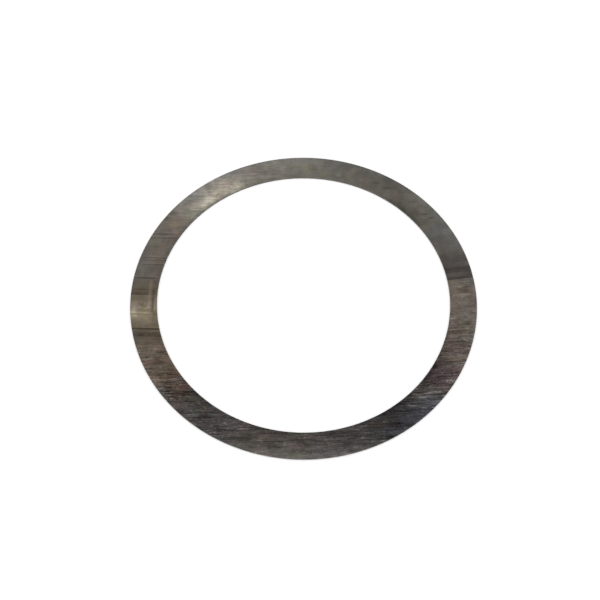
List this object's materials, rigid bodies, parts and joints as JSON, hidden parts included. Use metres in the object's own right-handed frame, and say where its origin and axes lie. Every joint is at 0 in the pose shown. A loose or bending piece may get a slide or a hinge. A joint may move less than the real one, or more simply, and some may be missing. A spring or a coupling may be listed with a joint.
{
  "type": "shim ring",
  "caption": "Thin flat shim ring of rolled steel with a round bore and a plain narrow band, for taking up end play beside a bearing, gear or housing shoulder.",
  "frame": {"origin": "centre of the bore at the level of the underside", "axes": "+Z along the bore's axis, up through the ring as it lies flat; +X along the rolling grain of the strip"},
  "size_m": [0.13, 0.13, 0.0005],
  "materials": {
    "steel": "rolled spring steel with a straight fine grain, faint heat tints and rubbed streaks"
  },
  "bodies": {
    "root": {"shim_ring": "steel"}
  },
  "joints": []
}
